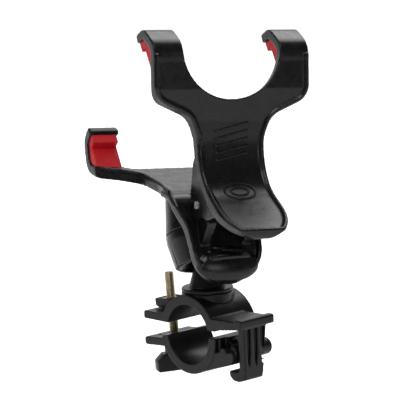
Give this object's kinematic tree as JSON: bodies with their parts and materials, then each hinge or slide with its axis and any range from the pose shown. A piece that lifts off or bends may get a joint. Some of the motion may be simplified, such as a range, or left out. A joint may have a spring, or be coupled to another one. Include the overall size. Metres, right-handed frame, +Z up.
{
  "type": "handlebar phone mount",
  "caption": "Spring-jaw phone clip with padded forked claws on a ball joint, standing on a hinged handlebar clamp closed by a thumb screw.",
  "frame": {"origin": "centre of the handlebar bore at the middle of the clamp", "axes": "+X along the handlebar, +Y away from the rider, +Z up"},
  "size_m": [0.0814, 0.1074, 0.1414],
  "materials": {
    "clamp_plastic": "moulded black nylon, satin",
    "claw_plastic": "moulded black, semi-gloss",
    "knob_plastic": "moulded black, matte",
    "pad_rubber": "soft red silicone",
    "liner_rubber": "dull black",
    "yellow_zinc": "yellow zinc plated steel",
    "bright_steel": "bright zinc plated steel",
    "spring_steel": "drawn spring wire"
  },
  "bodies": {
    "base": {"clamp_upper": "clamp_plastic", "hinge_pin": "knob_plastic", "stem_washer": "bright_steel"},
    "swing_half": {"clamp_lower": "clamp_plastic"},
    "thumb_screw": {"clamp_bolt": "yellow_zinc", "thumb_knob": "knob_plastic", "knob_washer": "yellow_zinc"},
    "sliding_nut": {"nut_block": "clamp_plastic", "clamp_nut": "yellow_zinc"},
    "stem": {"ball_stem": "clamp_plastic", "stem_screw": "bright_steel", "stem_insert": "bright_steel"},
    "liner": {"socket_liner": "liner_rubber"},
    "clip": {"lower_claw": "claw_plastic", "pivot_pin": "bright_steel", "torsion_spring": "spring_steel", "lower_pad_left": "pad_rubber", "lower_pad_right": "pad_rubber"},
    "nut": {"ring_nut": "claw_plastic"},
    "jaw": {"upper_claw": "claw_plastic", "upper_pad_left": "pad_rubber", "upper_pad_right": "pad_rubber"}
  },
  "joints": [
    {"name": "clamp_swing", "type": "hinge", "parent": "base", "child": "swing_half", "pos_m": [0, 0.0222, -0.005], "axis": [1, 0, 0], "range_deg": [-1.5, 4.5]},
    {"name": "knob_spin", "type": "hinge", "parent": "swing_half", "child": "thumb_screw", "pos_m": [0, -0.0212, 0], "axis": [0, -0.0698, 0.9976], "range_deg": [-1900, 640]},
    {"name": "nut_travel", "type": "slide", "parent": "swing_half", "child": "sliding_nut", "axis": [0, -0.0698, 0.9976], "range_m": [-0.00125, 0.0038]},
    {"name": "base_swivel", "type": "hinge", "parent": "base", "child": "stem", "pos_m": [0, 0, 0.016], "axis": [0, 0, 1], "continuous": true},
    {"name": "ball_tilt", "type": "hinge", "parent": "stem", "child": "liner", "pos_m": [0, 0, 0.0346], "axis": [0.8878, -0.4602, 0], "range_deg": [-23, 1]},
    {"name": "socket_roll", "type": "hinge", "parent": "liner", "child": "clip", "pos_m": [0, 0, 0.0346], "axis": [-0.1908, -0.3682, 0.91], "range_deg": [-60, 60]},
    {"name": "nut_turn", "type": "hinge", "parent": "clip", "child": "nut", "pos_m": [0, 0, 0.0346], "axis": [-0.1908, -0.3682, 0.91], "range_deg": [-30, 45]},
    {"name": "claw_open", "type": "hinge", "parent": "clip", "child": "jaw", "pos_m": [0.00414, 0.01711, 0.05283], "axis": [-0.9484, 0.3083, -0.0741], "range_deg": [-15, 25], "stiffness_Nm_per_rad": 0.08, "springref_deg": -15, "deforming": ["torsion_spring"]}
  ],
  "couplings": [
    {"joint": "knob_spin", "follows": "clamp_swing", "ratio": -412.89},
    {"joint": "nut_travel", "follows": "clamp_swing", "m_per_rad": 0.046}
  ]
}
